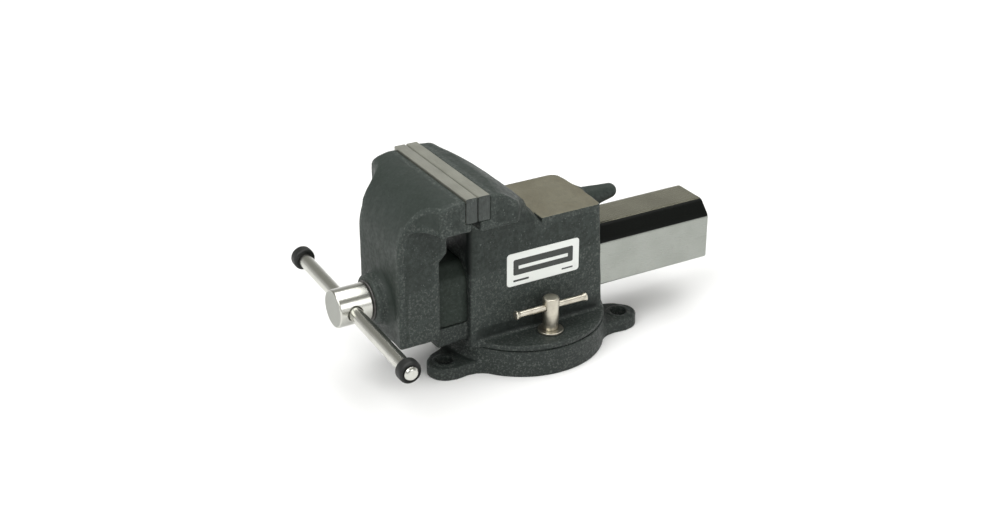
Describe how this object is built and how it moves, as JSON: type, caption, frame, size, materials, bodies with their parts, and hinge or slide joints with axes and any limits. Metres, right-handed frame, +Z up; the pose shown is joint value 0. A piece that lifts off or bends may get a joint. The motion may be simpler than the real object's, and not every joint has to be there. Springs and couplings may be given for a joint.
{
  "type": "bench vise",
  "caption": "Swivel-base bench vise with ground jaw plates, an anvil pad and horn, a U-shaped slide bar, a screw spindle with a sliding T handle, and swivel lock bolts.",
  "frame": {"origin": "on the swivel axis, in the plane of the bench that the base ring stands on", "axes": "+Z is up along the swivel axis; +Y runs to the rear, where the slide bar comes out; -Y is the handle end; +X is the side with the label"},
  "size_m": [0.2221, 0.3527, 0.1738],
  "materials": {
    "cast_paint": "dark grey-green hammertone paint over rough casting",
    "ground_steel": "ground bare steel, warm grey",
    "bar_steel": "machined and polished bar steel",
    "chrome": "bright chrome plating",
    "nickel": "warm nickel plating, satin",
    "dark_steel": "oiled dark steel",
    "spring_steel": "plain spring steel",
    "cap_rubber": "black moulded rubber, matte",
    "label_plastic": "white label with a plain grey band"
  },
  "bodies": {
    "base": {"base_ring": "cast_paint"},
    "rear_jaw": {"rear_casting": "cast_paint", "rear_jaw_plate": "ground_steel", "rear_plate_screws": "dark_steel", "label_plate": "label_plastic", "spindle_nut": "dark_steel", "nut_bolts": "dark_steel", "nut_washers": "dark_steel", "lock_plate": "dark_steel", "lock_washer_near": "nickel", "lock_washer_far": "nickel"},
    "front_jaw": {"front_casting": "cast_paint", "front_jaw_plate": "ground_steel", "front_plate_screws": "dark_steel", "slide_bar": "bar_steel"},
    "spindle": {"spindle": "chrome", "thrust_washer": "dark_steel", "spindle_spring": "spring_steel", "spring_washer": "dark_steel", "split_pin": "spring_steel"},
    "handle": {"handle_bar": "chrome", "handle_cap_near": "cap_rubber", "handle_cap_far": "cap_rubber"},
    "lock_near": {"lock_bolt_near": "nickel"},
    "lock_far": {"lock_bolt_far": "nickel"},
    "lock_bar_near": {"lock_bar_near": "nickel"},
    "lock_bar_far": {"lock_bar_far": "nickel"}
  },
  "joints": [
    {"name": "swivel", "type": "hinge", "parent": "base", "child": "rear_jaw", "pos_m": [0, 0, 0.024], "axis": [0, 0, 1], "continuous": true},
    {"name": "jaw_slide", "type": "slide", "parent": "rear_jaw", "child": "front_jaw", "axis": [0, -1, 0], "range_m": [0, 0.12]},
    {"name": "spindle_turn", "type": "hinge", "parent": "front_jaw", "child": "spindle", "pos_m": [0, -0.13, 0.0727], "axis": [0, -1, 0], "range_deg": [0, 8640]},
    {"name": "handle_slide", "type": "slide", "parent": "spindle", "child": "handle", "axis": [0.9988, 0, -0.0489], "range_m": [-0.0872, 0.0682]},
    {"name": "lock_turn_near", "type": "hinge", "parent": "rear_jaw", "child": "lock_near", "pos_m": [0.05, 0, 0.03], "axis": [0, 0, 1], "range_deg": [-14, 14]},
    {"name": "lock_turn_far", "type": "hinge", "parent": "rear_jaw", "child": "lock_far", "pos_m": [-0.05, 0, 0.03], "axis": [0, 0, 1], "range_deg": [-14, 14]},
    {"name": "lock_bar_slide_near", "type": "slide", "parent": "lock_near", "child": "lock_bar_near", "axis": [0, -1, 0], "range_m": [-0.024, 0.024]},
    {"name": "lock_bar_slide_far", "type": "slide", "parent": "lock_far", "child": "lock_bar_far", "axis": [0, 1, 0], "range_m": [-0.024, 0.024]}
  ],
  "couplings": [
    {"joint": "jaw_slide", "follows": "spindle_turn", "m_per_rad": 0.00079577}
  ]
}
